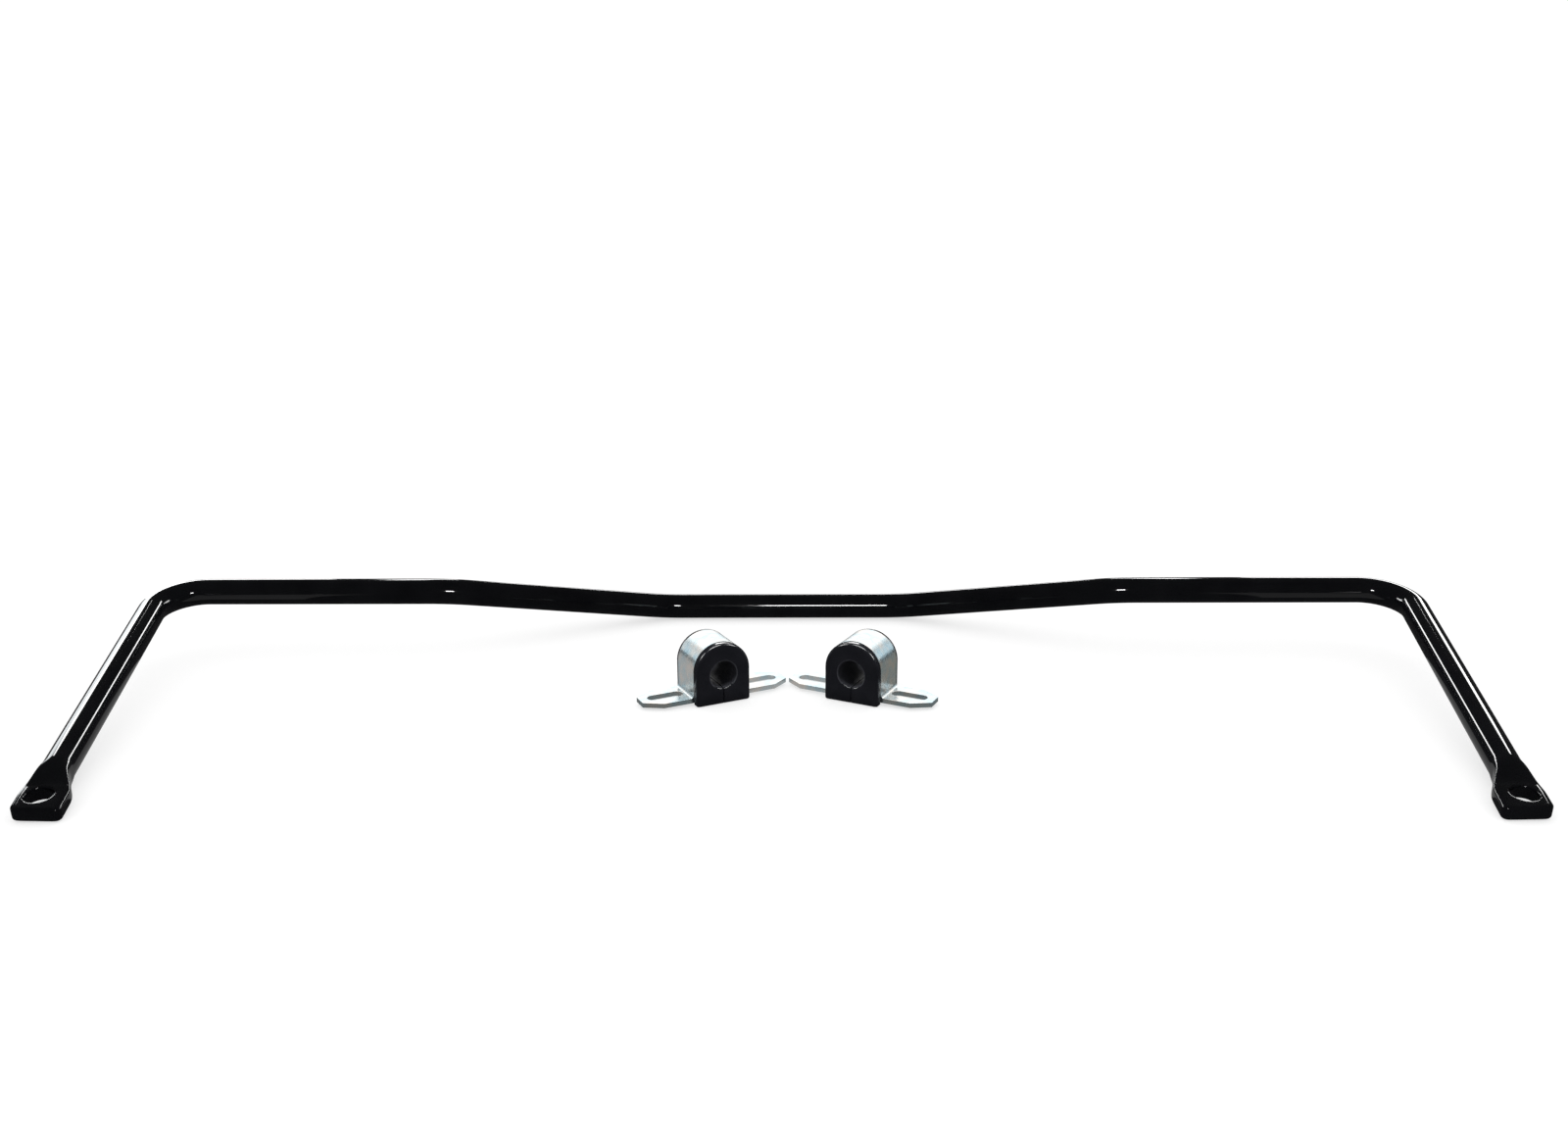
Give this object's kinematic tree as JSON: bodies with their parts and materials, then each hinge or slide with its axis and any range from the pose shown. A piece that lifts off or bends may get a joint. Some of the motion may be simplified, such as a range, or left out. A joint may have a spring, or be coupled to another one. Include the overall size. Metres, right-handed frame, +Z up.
{
  "type": "sway bar",
  "caption": "Bent steel anti-roll bar with forged end eyes, a dropped middle, and D-shaped frame bushings under slotted strap brackets.",
  "frame": {"origin": "centre of the kit's box, on the surface it lies on", "axes": "+X along the bar's outer runs, towards its right end as seen from the eyes' side; +Y from the eyes towards the dropped middle; +Z up"},
  "size_m": [1.0904, 0.4376, 0.0637],
  "materials": {
    "black_powder_coat": "gloss black powder coat on spring steel",
    "black_polyurethane": "smooth semi-gloss moulded polyurethane",
    "zinc_plated_steel": "bright zinc plating on pressed steel"
  },
  "bodies": {
    "bar": {"sway_bar": "black_powder_coat"},
    "left_bushing": {"left_bushing": "black_polyurethane"},
    "right_bushing": {"right_bushing": "black_polyurethane"},
    "left_bracket": {"left_bracket": "zinc_plated_steel"},
    "right_bracket": {"right_bracket": "zinc_plated_steel"}
  },
  "joints": [
    {"name": "left_bushing_place", "type": "slide", "parent": "bar", "child": "left_bushing", "axis": [-1, 0, 0], "range_m": [0, 0.34]},
    {"name": "right_bushing_place", "type": "slide", "parent": "bar", "child": "right_bushing", "axis": [1, 0, 0], "range_m": [0, 0.34]},
    {"name": "left_bracket_lift", "type": "slide", "parent": "left_bushing", "child": "left_bracket", "axis": [0, 0, 1], "range_m": [0, 0.055]},
    {"name": "right_bracket_lift", "type": "slide", "parent": "right_bushing", "child": "right_bracket", "axis": [0, 0, 1], "range_m": [0, 0.055]}
  ]
}
